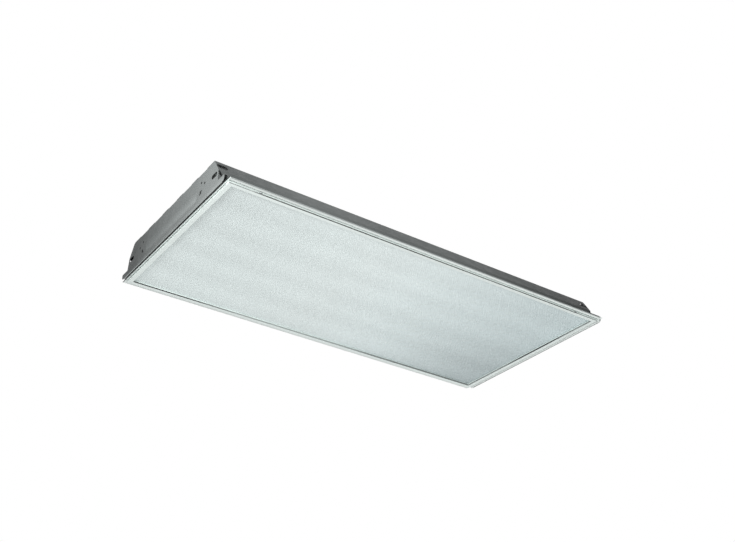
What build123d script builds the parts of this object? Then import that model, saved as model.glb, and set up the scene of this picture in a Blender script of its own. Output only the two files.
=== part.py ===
from build123d import *
import os
from math import cos, hypot, radians, sin

# Recessed troffer light for a lay-in ceiling grid, nominal 2 by 4 feet.
# The origin is the centre of the door's lower face. X runs along the lamps,
# Y across them, and Z up into the ceiling. All sizes are in millimetres.

os.makedirs("parts", exist_ok=True)

# Overall sizes
length = 1212.8               # over both end plates, 47 3/4 in
width = 603.2                 # over both T-bar flanges, 23 3/4 in
depth = 91.0                  # door face to the crowns of the top ribs
sheet = 0.8                   # 22 gauge steel
bend = 1.6                    # radius of a fold

# Housing cross-section: half widths and heights of its folds
flange_z = 4.5                # underside of the T-bar flange
web_y = 290.3                 # upright beside the door
step_z = 17.0                 # top of the step over the door frame
foot_y = 256.8                # lower wall, at the step
knee_y, knee_z = 252.8, 51.5  # where the wall leans inwards
lap_z = 40.0                  # lower edge of the top pan's lap over the wall
corner_y = 228.0              # shoulder, at the top
ridge_z = depth               # top of the ribs
valley_z = 88.0               # top face between the ribs

# Ribs pressed along the top
rib_count = 6
rib_pitch = 83.0
rib_half = 17.0               # half of a rib's flat top
rib_ramp = 4.0

# Lanced windows of the T-bar clips, in the shoulders near the corners
window_x, window_z = 590.0, 70.0
window_long, window_tall = 24.0, 13.0
tab_long, tab_wide, tab_tilt = 13.0, 9.0, 20.0

# Relief slots at the corners of the lower walls
relief_x, relief_z = 599.5, 39.5
relief_long, relief_wide, relief_tilt = 17.0, 3.6, 62.0

# Ends
inner_x = length / 2 - sheet  # inner face of an end plate
plate_foot_z = 1.0            # an end plate reaches down beside the door
ear_y = 288.5                 # half width of its foot
trim_x = 599.0                # outer face of the end trim
strip_x = 593.5               # inner edge of the end trim's lower strip
hem_depth = 2.4               # hem along the foot of an end plate
bead_long, bead_tall, bead_depth = 300.0, 34.0, 3.0
bead_z = 26.5
hanger_y, hanger_z = 235.5, 42.5
hanger_long, hanger_tall = 25.0, 11.0

# Door frame: a closed box section with an upright on its outer edge
door_length = 1184.0
door_width = 575.0
rail_face = 13.0              # visible face of a rail
rail_box = 6.0                # height of the box, which is the lens ledge
rail_height = 14.0            # top of the upright
rail_wall = 1.2
ledge = 4.5                   # lens bearing on the rail

# Lens
lens_thickness = 3.2

# Hinges, on the far rail
hinge_x = 430.0
hinge_y = 283.5
hinge_z = 3.5
hinge_pin_radius = 1.2
hinge_notch = 26.0
running_gap = 0.05            # radial clearance of a turning fit

# Latches, on the near rail
latch_x = 510.0
latch_y = -283.4
spindle_radius = 2.4
tongue_reach = 11.5
tongue_z = 10.0
lever_reach = 6.6
lever_z = 1.8
lever_sheet = 1.2

# Lamps: T8 tubes with G13 caps
lamp_y = 165.0
lamp_z = 45.0
tube_radius = 12.7
tube_wall = 0.8
lamp_length = 1196.6          # face to face of the caps
cap_length = 15.0
cap_wall = 0.3
pin_length = 6.3
pin_spacing = 12.7
pin_radius = 1.18

# Lampholders and the bars that carry them
holder_depth = 7.0
holder_width = 24.0
pad = 0.25                    # insulating pad between a holder and the end plate
pad_width = 42.0
rotor_radius = 9.0
rotor_back = 605.05
bar_z = 67.2                  # underside of a bar
bar_x = 588.0                 # upright leg of a bar
bar_half = 225.0

# Ballast and its cover
ballast_length, ballast_width, ballast_height = 241.0, 42.4, 27.0
cover_z = 53.2
cover_half_floor = 48.0
cover_half_top = 68.0
cover_flange = 24.0
bundle_radius = 2.5           # bundle of leads between the ballast and a socket bar
loom_z = 76.0
ground_x = -530.0

# Wiring access in the top
access_x = -440.0
access_length, access_width = 120.0, 120.0
access_opening = 84.0
knockout_radius = 11.1        # 7/8 in trade knockout
knockout_spacing = 52.0

half_length = length / 2
half_width = width / 2
valley_under = valley_z - sheet
rail_in_x = door_length / 2 - rail_face
rail_in_y = door_width / 2 - rail_face
lens_top = rail_box + lens_thickness
lamp_face = lamp_length / 2
peg_top = bar_z + sheet + 1.6


def save(piece, name):
    """Label a finished piece and write it."""
    piece.part.label = name
    export_step(piece.part, f"parts/{name}.step")


def folded(points, side):
    """Section of a folded sheet; points run along one of its faces."""
    with BuildSketch() as section:
        with BuildLine():
            FilletPolyline(*points, radius=bend)
            offset(amount=sheet, side=side, closed=True)
        make_face()
    return section.sketch


def both_ends():
    """Name and direction of the two ends."""
    return (("left", -1), ("right", 1))


# --- Housing ----------------------------------------------------------------

def make_housing_top():
    """Ribbed top pan with its sloped shoulders and the laps over the walls."""
    lap_y = knee_y + (foot_y - knee_y) * (knee_z - lap_z) / (knee_z - step_z)
    outline = [(-lap_y, lap_z), (-knee_y, knee_z), (-corner_y, ridge_z)]
    for index in range(rib_count):
        centre = (index - (rib_count - 1) / 2) * rib_pitch
        if index > 0:
            outline += [(centre - rib_half - rib_ramp, valley_z), (centre - rib_half, ridge_z)]
        if index < rib_count - 1:
            outline += [(centre + rib_half, ridge_z), (centre + rib_half + rib_ramp, valley_z)]
    outline += [(corner_y, ridge_z), (knee_y, knee_z), (lap_y, lap_z)]
    section = folded(outline, Side.RIGHT)
    with BuildPart() as pan:
        with BuildSketch(Plane.YZ):
            add(section)
        extrude(amount=inner_x, both=True)
        # windows of the T-bar clips, each with its tab bent inwards from the outer edge
        for name, end in both_ends():
            root_x = end * (window_long / 2 + 0.6 - tab_long / 2 * cos(radians(tab_tilt)))
            for side in (-1, 1):
                shoulder = shoulder_plane(end * window_x, side)
                with BuildSketch(shoulder):
                    Rectangle(window_long, window_tall)
                extrude(amount=4, both=True, mode=Mode.SUBTRACT)
                tab_place = shoulder * Pos(root_x, 0, -sheet - tab_long / 2 * sin(radians(tab_tilt)))
                with Locations(tab_place * Rot(0, -end * tab_tilt, 0)):
                    Box(tab_long, tab_wide, sheet)
        extrude(relief_slots(), amount=width, both=True, mode=Mode.SUBTRACT)
        # opening under the access plate, and the holes for its screws
        with Locations((access_x, 0, valley_z)):
            Box(access_opening, access_opening, 20, mode=Mode.SUBTRACT)
        with Locations(*access_screw_spots()):
            Cylinder(1.6, 10, mode=Mode.SUBTRACT)
        # holes for the screws of the ballast and its cover
        spots = ballast_bolt_spots() + cover_screw_spots() + [(ground_x, 0)]
        with Locations(*[(x, y, valley_z) for x, y in spots]):
            Cylinder(1.9, 10, mode=Mode.SUBTRACT)
    save(pan, "housing_top")


def shoulder_plane(x, side):
    """Plane on the outer face of a sloped shoulder, at the height of the windows."""
    y = knee_y - (window_z - knee_z) * (knee_y - corner_y) / (ridge_z - knee_z)
    return Plane(origin=(x, side * y, window_z), x_dir=(1, 0, 0),
                 z_dir=(0, side * (ridge_z - knee_z), knee_y - corner_y))


def relief_slots():
    """Slanting slots at both ends, to be cut through the walls on both sides."""
    with BuildSketch(Plane.XZ) as slots:
        for name, end in both_ends():
            with Locations((end * relief_x, relief_z)):
                SlotOverall(relief_long, relief_wide, rotation=end * relief_tilt)
    return slots.sketch


def access_screw_spots():
    """Two screws, on the crowns of the ribs beside the opening."""
    offset_x = access_length / 2 - 9
    return [(access_x - offset_x, -rib_pitch / 2, ridge_z), (access_x + offset_x, rib_pitch / 2, ridge_z)]


def ballast_bolt_spots():
    offset_x = ballast_length / 2 - 6
    return [(-offset_x, 0), (offset_x, 0)]


def cover_screw_spots():
    return [(x, y) for x in (-380, 380) for y in (-rib_pitch, rib_pitch)]


def make_side_rail(name, direction):
    """Lower wall, step over the door, upright and T-bar flange, in one sheet."""
    slope = (foot_y - knee_y) / (knee_z - step_z)
    inset = sheet * hypot(1, slope)
    outline = [
        (knee_y + slope * 1.0 - inset, knee_z - 1.0),
        (foot_y - inset, step_z),
        (web_y, step_z),
        (web_y, flange_z + sheet),
        (half_width, flange_z + sheet),
    ]
    section = folded(outline, Side.RIGHT)
    with BuildPart() as rail:
        with BuildSketch(Plane.YZ):
            add(section)
        extrude(amount=inner_x, both=True)
        # room for the end trims
        upright_x = trim_x - sheet
        for end in (-1, 1):
            with Locations((end * (upright_x + 10), web_y, step_z - sheet)):
                Box(20, 50, 30, align=(Align.CENTER, Align.CENTER, Align.MAX), mode=Mode.SUBTRACT)
            with Locations((end * (strip_x + 9), web_y, flange_z + sheet + 0.05)):
                Box(20, 50, 10, align=(Align.CENTER, Align.CENTER, Align.MAX), mode=Mode.SUBTRACT)
        extrude(relief_slots(), amount=width, both=True, mode=Mode.SUBTRACT)
        if direction < 0:
            mirror(about=Plane.XZ, mode=Mode.REPLACE)
            # keeper slots of the two latches
            for end in (-1, 1):
                with Locations((end * (latch_x + 4), -web_y, tongue_z + 0.6)):
                    Box(16, 6, 2.6, mode=Mode.SUBTRACT)
    save(rail, name)


def make_end_plate(name, end):
    """Stamped end plate with a pressed bead, a hem, hanging slots and locating holes."""
    top_z = valley_z
    top_y = corner_y + (knee_y - corner_y) * (ridge_z - top_z) / (ridge_z - knee_z)
    outer = Plane.YZ.offset(end * half_length)
    with BuildPart() as plate:
        with BuildSketch(outer) as face:
            with BuildLine():
                right_half = Polyline(
                    (0, plate_foot_z), (ear_y, plate_foot_z), (ear_y, step_z), (foot_y, step_z),
                    (knee_y, knee_z), (top_y, top_z), (0, top_z),
                )
                mirror(right_half, about=Plane.YZ)
            make_face()
            fillet(face.vertices().filter_by_position(Axis.Y, step_z - 0.1, step_z + 0.1), 3)
            foot = face.vertices().group_by(Axis.Y)[0].sort_by(Axis.X)
            fillet([foot[0], foot[-1]], 9)
        extrude(amount=-end * sheet)
        # the bead is pressed inwards, so it is a dish outside and a swelling inside
        with BuildSketch(outer.offset(-end * sheet)):
            with Locations((0, bead_z)):
                RectangleRounded(bead_long, bead_tall, bead_tall / 2 - 0.5)
        with BuildSketch(outer.offset(-end * (sheet + bead_depth))):
            with Locations((0, bead_z)):
                RectangleRounded(bead_long - 26, bead_tall - 26, 3.5)
        loft()
        with BuildSketch(outer):
            with Locations((0, bead_z)):
                RectangleRounded(bead_long, bead_tall, bead_tall / 2 - 0.5)
        with BuildSketch(outer.offset(-end * bead_depth)):
            with Locations((0, bead_z)):
                RectangleRounded(bead_long - 26, bead_tall - 26, 3.5)
        loft(mode=Mode.SUBTRACT)
        # hem along the foot
        with Locations((end * (half_length - hem_depth / 2), 0, plate_foot_z + sheet / 2)):
            Box(hem_depth, 2 * (ear_y - 12), sheet)
        # hanging slots, and the locating holes and slots of the lampholders
        with BuildSketch(outer):
            with Locations((-hanger_y, hanger_z), (hanger_y, hanger_z)):
                SlotOverall(hanger_long, hanger_tall)
            with Locations((-166, 61), (166, 61), (-184, 50.5), (184, 50.5)):
                Circle(2.6)
            with Locations((-165, 32.5), (165, 32.5)):
                SlotOverall(14, 5, rotation=50)
        extrude(amount=-end * 12, mode=Mode.SUBTRACT)
    save(plate, name)


def make_end_trim(name, end):
    """Z-shaped trim that closes the gap between an end plate and the door."""
    outline = [
        (strip_x, flange_z + sheet),
        (trim_x - sheet, flange_z + sheet),
        (trim_x - sheet, step_z - sheet),
        (inner_x, step_z - sheet),
    ]
    with BuildSketch() as section:
        with BuildLine():
            Polyline(*outline)
            offset(amount=sheet, side=Side.RIGHT, kind=Kind.INTERSECTION, closed=True)
        make_face()
    upright_half = web_y - sheet
    with BuildPart() as trim:
        with BuildSketch(Plane.XZ):
            add(section.sketch)
        extrude(amount=upright_half, both=True)
        with Locations(((strip_x + trim_x) / 2, 0, flange_z + sheet / 2)):
            Box(trim_x - strip_x, width, sheet)
        # the upper flange stops short of the end plate's bead
        with Locations((trim_x + 5, 0, step_z - sheet)):
            Box(10, bead_long + 6, 4, mode=Mode.SUBTRACT)
        if end < 0:
            mirror(about=Plane.YZ, mode=Mode.REPLACE)
    save(trim, name)


def make_access_plate():
    """Plate over the wiring opening, with two trade knockouts."""
    with BuildPart() as plate:
        with BuildSketch(Plane.XY.offset(ridge_z)) as face:
            with Locations((access_x, 0)):
                Rectangle(access_length, access_width)
            fillet(face.vertices(), 6)
            with Locations((access_x - knockout_spacing / 2, 0), (access_x + knockout_spacing / 2, 0)):
                Circle(knockout_radius, mode=Mode.SUBTRACT)
            with Locations(*[(x, y) for x, y, z in access_screw_spots()]):
                Circle(1.6, mode=Mode.SUBTRACT)
        extrude(amount=sheet)
    save(plate, "access_plate")


def make_access_screws():
    """Two pan-head screws on top of the access plate."""
    with BuildPart() as screws:
        for x, y, z in access_screw_spots():
            with Locations((x, y, z + sheet)):
                Cylinder(3.4, 1.6, align=(Align.CENTER, Align.CENTER, Align.MIN))
                Cylinder(1.5, 4.0, align=(Align.CENTER, Align.CENTER, Align.MAX))
        fillet(screws.edges().group_by(Axis.Z)[-1], 0.9)
    save(screws, "access_screws")


# --- Lampholders and lamps --------------------------------------------------

def make_socket_bar(name, end):
    """Angle across the top of the housing at one end, from which the holders hang."""
    with BuildPart() as bar:
        with Locations((end * (bar_x + inner_x) / 2, 0, bar_z)):
            Box(inner_x - bar_x, 2 * bar_half, sheet, align=(Align.CENTER, Align.CENTER, Align.MIN))
        with Locations((end * (bar_x + sheet / 2), 0, bar_z)):
            Box(sheet, 2 * bar_half, valley_under - bar_z, align=(Align.CENTER, Align.CENTER, Align.MIN))
        # slots for the holders' pegs, and the wiring hole in the upright leg
        with Locations(*[(end * (inner_x - holder_depth / 2), y, bar_z) for y in (-lamp_y, lamp_y)]):
            Box(3.2, 12.2, 10, mode=Mode.SUBTRACT)
        with Locations((end * bar_x, 0, loom_z)):
            Cylinder(6, 10, rotation=(0, 90, 0), mode=Mode.SUBTRACT)
    save(bar, name)


def make_lampholder(name, end, y):
    """G13 holder: a round foot about the lamp, a bore for the rotor and an entry slot below."""
    face = Plane.YZ.offset(end * (inner_x - holder_depth))
    with BuildPart() as holder:
        with BuildSketch(face):
            with Locations((y, lamp_z)):
                Circle(holder_width / 2)
            with Locations((y, (lamp_z + bar_z) / 2)):
                Rectangle(holder_width - 4, bar_z - lamp_z)
            with Locations((y, lamp_z)):
                Circle(rotor_radius, mode=Mode.SUBTRACT)
            with Locations((y, lamp_z - holder_width / 2)):
                Rectangle(3.2, holder_width, mode=Mode.SUBTRACT)
        extrude(amount=end * (holder_depth - pad))
        with Locations((end * (inner_x - holder_depth / 2), y, bar_z)):
            Box(3.0, 12.0, peg_top - bar_z, align=(Align.CENTER, Align.CENTER, Align.MIN))
    save(holder, name)


def make_holder_pads(name, end):
    """Insulating pads between the end plate and the two holders."""
    with BuildPart() as pads:
        with BuildSketch(Plane.YZ.offset(end * inner_x)) as face:
            with Locations((-lamp_y - 7, lamp_z), (lamp_y + 7, lamp_z)):
                Rectangle(pad_width, pad_width)
            fillet(face.vertices(), 3)
        extrude(amount=-end * pad)
    save(pads, name)


def make_rotor(name, end, y):
    """Turning part of a holder, with the slot that takes the two pins."""
    front = lamp_face + 0.5
    depth = rotor_back - front
    with BuildPart() as rotor:
        with Locations((end * (front + depth / 2), y, lamp_z)):
            Cylinder(rotor_radius - running_gap, depth, rotation=(0, 90, 0))
        with Locations((end * (front + (depth - 0.45) / 2), y, lamp_z)):
            Box(depth - 0.45, 20, 2 * pin_radius + 0.3, mode=Mode.SUBTRACT)
    save(rotor, name)


def make_lamp(side, y):
    """Glass tube, its two caps and its four pins."""
    tube_half = lamp_face - 1.0
    with BuildPart() as tube:
        with Locations((0, y, lamp_z)):
            Cylinder(tube_radius, 2 * tube_half, rotation=(0, 90, 0))
            Cylinder(tube_radius - tube_wall, 2 * tube_half, rotation=(0, 90, 0), mode=Mode.SUBTRACT)
    save(tube, f"lamp_tube_{side}")

    with BuildPart() as caps:
        for name, end in both_ends():
            with BuildSketch(Plane.YZ.offset(end * (lamp_face - cap_length))):
                with Locations((y, lamp_z)):
                    Circle(tube_radius + cap_wall)
            extrude(amount=end * cap_length)
        fillet(caps.edges().filter_by(GeomType.CIRCLE).group_by(Axis.X)[0]
               + caps.edges().filter_by(GeomType.CIRCLE).group_by(Axis.X)[-1], 1.0)
        with Locations((0, y, lamp_z)):
            Cylinder(tube_radius, 2 * tube_half, rotation=(0, 90, 0), mode=Mode.SUBTRACT)
    save(caps, f"lamp_caps_{side}")

    with BuildPart() as pins:
        for name, end in both_ends():
            with Locations(*[(end * (lamp_face + pin_length / 2), y + dy, lamp_z)
                             for dy in (-pin_spacing / 2, pin_spacing / 2)]):
                Cylinder(pin_radius, pin_length, rotation=(0, 90, 0))
    save(pins, f"lamp_pins_{side}")


# --- Ballast and wiring -----------------------------------------------------

def make_ballast():
    """Electronic ballast: a shallow case with a foot at each end."""
    with BuildPart() as ballast:
        with BuildSketch(Plane.XY.offset(valley_under)):
            RectangleRounded(ballast_length - 24, ballast_width, 2)
        extrude(amount=-ballast_height)
        fillet(ballast.edges().group_by(Axis.Z)[0], 1.5)
        with Locations((0, 0, valley_under)):
            Box(ballast_length, ballast_width - 8, 1.2, align=(Align.CENTER, Align.CENTER, Align.MAX))
        with Locations(*[(x, y, valley_under) for x, y in ballast_bolt_spots()]):
            Cylinder(1.9, 10, mode=Mode.SUBTRACT)
    save(ballast, "ballast")


def make_ballast_bolts():
    """Hex-head screws through the ballast's feet."""
    with BuildPart() as bolts:
        for x, y in ballast_bolt_spots():
            with BuildSketch(Plane.XY.offset(valley_under - 1.2)):
                with Locations((x, y)):
                    RegularPolygon(4.2, 6)
            extrude(amount=-3.2)
            with Locations((x, y, valley_under - 1.2)):
                Cylinder(1.8, 3.4, align=(Align.CENTER, Align.CENTER, Align.MIN))
    save(bolts, "ballast_bolts")


def make_ballast_cover():
    """Hat-section cover over the ballast and the wiring, from bar to bar."""
    outline = [
        (-cover_half_top - cover_flange, valley_under),
        (-cover_half_top, valley_under),
        (-cover_half_floor, cover_z + sheet),
        (cover_half_floor, cover_z + sheet),
        (cover_half_top, valley_under),
        (cover_half_top + cover_flange, valley_under),
    ]
    section = folded(outline, Side.RIGHT)
    with BuildPart() as cover:
        with BuildSketch(Plane.YZ):
            add(section)
        extrude(amount=bar_x - 1.0, both=True)
        with Locations(*[(x, y, valley_under) for x, y in cover_screw_spots()]):
            Cylinder(1.9, 10, mode=Mode.SUBTRACT)
    save(cover, "ballast_cover")


def make_cover_screws():
    """Washer-head screws that hold the cover's flanges."""
    with BuildPart() as screws:
        for x, y in cover_screw_spots():
            with Locations((x, y, valley_under - sheet)):
                Cylinder(4.5, 0.8, align=(Align.CENTER, Align.CENTER, Align.MAX))
                Cylinder(1.8, 3.0, align=(Align.CENTER, Align.CENTER, Align.MIN))
            with BuildSketch(Plane.XY.offset(valley_under - sheet - 0.8)):
                with Locations((x, y)):
                    RegularPolygon(3.2, 6)
            extrude(amount=-2.2)
    save(screws, "cover_screws")


def make_ballast_leads(name, end):
    """Bundle from the ballast to the wiring hole in the socket bar."""
    start_x = (ballast_length - 24) / 2
    floor_z = cover_z + sheet + bundle_radius
    with BuildPart() as leads:
        with BuildLine() as route:
            FilletPolyline(
                (end * start_x, 0, 72), (end * (start_x + 80), 0, 72),
                (end * (start_x + 160), 0, floor_z), (end * (bar_x - 160), 0, floor_z),
                (end * (bar_x - 80), 0, 72), (end * (bar_x + 12.4), 0, loom_z),
                radius=180,
            )
        with BuildSketch(Plane(route.line @ 0, z_dir=route.line % 0)):
            Circle(bundle_radius)
        sweep()
    save(leads, name)


def make_holder_leads(name, end):
    """Leads along the socket bar, from the bundle to both holders."""
    x = end * (inner_x - holder_depth / 2)
    with BuildPart() as leads:
        with BuildLine() as route:
            FilletPolyline(
                (x, -lamp_y, peg_top), (x, -lamp_y, loom_z),
                (x, lamp_y, loom_z), (x, lamp_y, peg_top), radius=5,
            )
        with BuildSketch(Plane(route.line @ 0, z_dir=route.line % 0)):
            Circle(1.5)
        sweep()
    save(leads, name)


def make_ground_screw():
    """Hex-head grounding screw in the top pan, near the wiring opening."""
    with BuildPart() as screw:
        with BuildSketch(Plane.XY.offset(valley_under)):
            with Locations((ground_x, 0)):
                RegularPolygon(4.4, 6)
        extrude(amount=-3.2)
        with Locations((ground_x, 0, valley_under)):
            Cylinder(1.8, 3.2, align=(Align.CENTER, Align.CENTER, Align.MIN))
    save(screw, "ground_screw")


# --- Door -------------------------------------------------------------------

def rail_section():
    """Box section with its upright; the first coordinate runs outwards from the inner edge."""
    with BuildSketch() as section:
        with Locations((rail_face / 2, rail_box / 2)):
            Rectangle(rail_face, rail_box)
        with Locations((rail_face - rail_wall / 2, rail_height / 2)):
            Rectangle(rail_wall, rail_height)
        fillet(section.vertices().group_by(Axis.Y)[0], 0.6)
        with Locations((rail_face / 2, rail_box / 2)):
            Rectangle(rail_face - 2 * rail_wall, rail_box - 2 * rail_wall, mode=Mode.SUBTRACT)
    return section.sketch


def make_long_rail(name, direction):
    """Long rail of the door, mitred at both ends. Direction is -1 near, 1 far."""
    section = rail_section()
    with BuildPart() as rail:
        with BuildSketch(Plane.YZ):
            with Locations((rail_in_y, 0)):
                add(section)
        extrude(amount=door_length / 2, both=True)
        for end in (-1, 1):
            mitre = Plane((end * rail_in_x, rail_in_y, 0), z_dir=(-end, 1, 0))
            split(bisect_by=mitre, keep=Keep.TOP)
        if direction > 0:
            for end in (-1, 1):
                with Locations((end * hinge_x, hinge_y - 3, rail_wall)):
                    Box(hinge_notch, 20, 20, align=(Align.CENTER, Align.MIN, Align.MIN), mode=Mode.SUBTRACT)
        else:
            mirror(about=Plane.XZ, mode=Mode.REPLACE)
            outer_y = -door_width / 2 + rail_wall / 2
            for end in (-1, 1):
                with Locations((end * latch_x, latch_y, rail_box)):
                    Cylinder(spindle_radius + running_gap, 3, mode=Mode.SUBTRACT)
                # notch for the tongue and window for the lever, in the outer wall
                with Locations((end * (latch_x + 4.5), outer_y, tongue_z - 0.6)):
                    Box(16, 4, 10, align=(Align.CENTER, Align.CENTER, Align.MIN), mode=Mode.SUBTRACT)
                with Locations((end * (latch_x - 2.4), outer_y, rail_wall)):
                    Box(9.6, 4, 2.4, align=(Align.CENTER, Align.CENTER, Align.MIN), mode=Mode.SUBTRACT)
    save(rail, name)


def make_end_rail(name, end):
    """End rail of the door, mitred at both ends."""
    section = rail_section()
    with BuildPart() as rail:
        with BuildSketch(Plane.XZ):
            with Locations((rail_in_x, 0)):
                add(section)
        extrude(amount=door_width / 2, both=True)
        for side in (-1, 1):
            mitre = Plane((rail_in_x, side * rail_in_y, 0), z_dir=(1, -side, 0))
            split(bisect_by=mitre, keep=Keep.TOP)
        if end < 0:
            mirror(about=Plane.YZ, mode=Mode.REPLACE)
    save(rail, name)


def make_corner_keys():
    """Angle keys that fill the box sections across the mitres."""
    leg, key_width = 34.0, rail_face - 2 * rail_wall
    tall = rail_box - 2 * rail_wall
    with BuildPart() as keys:
        with BuildSketch(Plane.XY.offset(rail_wall)):
            for x in (-1, 1):
                for y in (-1, 1):
                    corner_x = x * (door_length / 2 - rail_wall)
                    corner_y_out = y * (door_width / 2 - rail_wall)
                    with Locations((corner_x - x * leg / 2, corner_y_out - y * key_width / 2)):
                        Rectangle(leg, key_width)
                    with Locations((corner_x - x * key_width / 2, corner_y_out - y * leg / 2)):
                        Rectangle(key_width, leg)
        extrude(amount=tall)
    save(keys, "corner_keys")


def make_lens():
    """Acrylic sheet that lies on the ledge of the rails."""
    with BuildPart() as lens:
        with BuildSketch(Plane.XY.offset(rail_box)):
            RectangleRounded(2 * (rail_in_x + ledge), 2 * (rail_in_y + ledge), 1.5)
        extrude(amount=lens_thickness)
        chamfer(lens.edges().group_by(Axis.Z)[-1], 0.8)
    save(lens, "lens")


def make_lens_clips():
    """Spring angles between the rails' uprights and the top of the lens."""
    upright_y = door_width / 2 - rail_wall
    upright_x = door_length / 2 - rail_wall
    with BuildPart() as clips:
        for x in (-220, 0, 220):
            for y in (-1, 1):
                with Locations((x, y * (upright_y - 5.5), lens_top)):
                    Box(14, 11, 0.6, align=(Align.CENTER, Align.CENTER, Align.MIN))
                with Locations((x, y * (upright_y - 0.3), lens_top)):
                    Box(14, 0.6, 4, align=(Align.CENTER, Align.CENTER, Align.MIN))
        for x in (-1, 1):
            with Locations((x * (upright_x - 5.5), 0, lens_top)):
                Box(11, 14, 0.6, align=(Align.CENTER, Align.CENTER, Align.MIN))
            with Locations((x * (upright_x - 0.3), 0, lens_top)):
                Box(0.6, 14, 4, align=(Align.CENTER, Align.CENTER, Align.MIN))
    save(clips, "lens_clips")


def make_hinge(name, end):
    """Hinge: a bracket under the housing's step, and a pin between two ears in the door."""
    x = end * hinge_x
    under = step_z - sheet
    with BuildPart() as bracket:
        with Locations((x, 275, under)):
            Box(22, 25, sheet, align=(Align.CENTER, Align.CENTER, Align.MAX))
        with BuildSketch(Plane.YZ.offset(x)):
            with Locations((hinge_y, hinge_z)):
                Circle(2.0)
            with Locations((hinge_y, (hinge_z + under - sheet) / 2)):
                Rectangle(3.6, under - sheet - hinge_z)
            with Locations((hinge_y, hinge_z)):
                Circle(hinge_pin_radius + running_gap, mode=Mode.SUBTRACT)
        extrude(amount=1.5, both=True)
    save(bracket, f"hinge_bracket_{name}")

    with BuildPart() as pin:
        with Locations((x, hinge_y, hinge_z)):
            Cylinder(hinge_pin_radius, hinge_notch - 2, rotation=(0, 90, 0))
    save(pin, f"hinge_pin_{name}")

    with BuildPart() as ears:
        for side in (-1, 1):
            with BuildSketch(Plane.YZ.offset(x + side * (hinge_notch / 2 - 2.5))):
                with Locations((hinge_y, (rail_wall + hinge_z) / 2)):
                    Rectangle(4.6, hinge_z - rail_wall)
                with Locations((hinge_y, hinge_z)):
                    Circle(2.3)
                    Circle(hinge_pin_radius, mode=Mode.SUBTRACT)
            extrude(amount=0.9, both=True)
    save(ears, f"hinge_ears_{name}")


def make_latch(name, end):
    """Cam latch: a spindle with a lever in the seam below and a tongue over the ledge."""
    x = end * latch_x
    tongue_top = tongue_z + lever_sheet
    with BuildPart() as latch:
        with Locations((x, latch_y, lever_z)):
            Cylinder(spindle_radius, tongue_top - lever_z, align=(Align.CENTER, Align.CENTER, Align.MIN))
        with BuildSketch(Plane.XY.offset(lever_z)):
            with Locations((x, latch_y - lever_reach / 2)):
                Rectangle(3.0, lever_reach)
        extrude(amount=lever_sheet)
        with BuildSketch(Plane.XY.offset(tongue_z)):
            with Locations((x + end * (tongue_reach - 2.3) / 2, latch_y)):
                Rectangle(tongue_reach - 2.3, 4.6)
            with Locations((x + end * (tongue_reach - 2.3), latch_y)):
                Circle(2.3)
        extrude(amount=lever_sheet)
    save(latch, name)


make_housing_top()
make_side_rail("side_rail_near", -1)
make_side_rail("side_rail_far", 1)
make_access_plate()
make_access_screws()
make_ballast()
make_ballast_bolts()
make_ballast_cover()
make_cover_screws()
make_ground_screw()
for end_name, end_sign in both_ends():
    make_end_plate(f"end_plate_{end_name}", end_sign)
    make_end_trim(f"end_trim_{end_name}", end_sign)
    make_socket_bar(f"socket_bar_{end_name}", end_sign)
    make_ballast_leads(f"ballast_leads_{end_name}", end_sign)
    make_holder_leads(f"holder_leads_{end_name}", end_sign)
    make_holder_pads(f"holder_pads_{end_name}", end_sign)
    for side_name, lamp_at in (("near", -lamp_y), ("far", lamp_y)):
        make_lampholder(f"lampholder_{end_name}_{side_name}", end_sign, lamp_at)
        make_rotor(f"rotor_{end_name}_{side_name}", end_sign, lamp_at)
    make_end_rail(f"door_rail_{end_name}", end_sign)
    make_hinge(end_name, end_sign)
    make_latch(f"latch_{end_name}", end_sign)
for side_name, lamp_at in (("near", -lamp_y), ("far", lamp_y)):
    make_lamp(side_name, lamp_at)
make_long_rail("door_rail_near", -1)
make_long_rail("door_rail_far", 1)
make_corner_keys()
make_lens()
make_lens_clips()
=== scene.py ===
from math import pi, radians

import bpy
from mathutils import Matrix, Vector


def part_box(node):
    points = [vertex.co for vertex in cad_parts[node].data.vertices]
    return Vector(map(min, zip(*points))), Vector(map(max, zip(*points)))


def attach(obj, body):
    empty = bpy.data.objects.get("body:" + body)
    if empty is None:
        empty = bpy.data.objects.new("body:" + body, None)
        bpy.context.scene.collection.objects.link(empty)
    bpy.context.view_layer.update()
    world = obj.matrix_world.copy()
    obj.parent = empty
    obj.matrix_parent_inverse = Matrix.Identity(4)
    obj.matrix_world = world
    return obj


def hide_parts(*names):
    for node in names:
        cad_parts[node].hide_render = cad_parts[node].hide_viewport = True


bl_info = {
    "name": "Recessed troffer light",
    "version": (1, 0, 0),
    "blender": (4, 5, 0),
    "location": "3D View > Sidebar > Troffer",
    "description": "Dresses the frame of a lay-in ceiling light and sets up its studio",
    "category": "Object",
}

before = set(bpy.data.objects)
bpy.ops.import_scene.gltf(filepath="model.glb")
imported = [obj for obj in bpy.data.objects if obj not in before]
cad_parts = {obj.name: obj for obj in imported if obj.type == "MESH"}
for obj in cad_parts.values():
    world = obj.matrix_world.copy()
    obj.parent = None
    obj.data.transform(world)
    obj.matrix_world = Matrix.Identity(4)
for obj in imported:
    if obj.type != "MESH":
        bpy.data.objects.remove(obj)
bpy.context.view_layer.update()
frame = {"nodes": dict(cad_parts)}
nodes = frame["nodes"]

ENDS = (("left", -1), ("right", 1))
SIDES = (("near", -1), ("far", 1))

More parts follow.
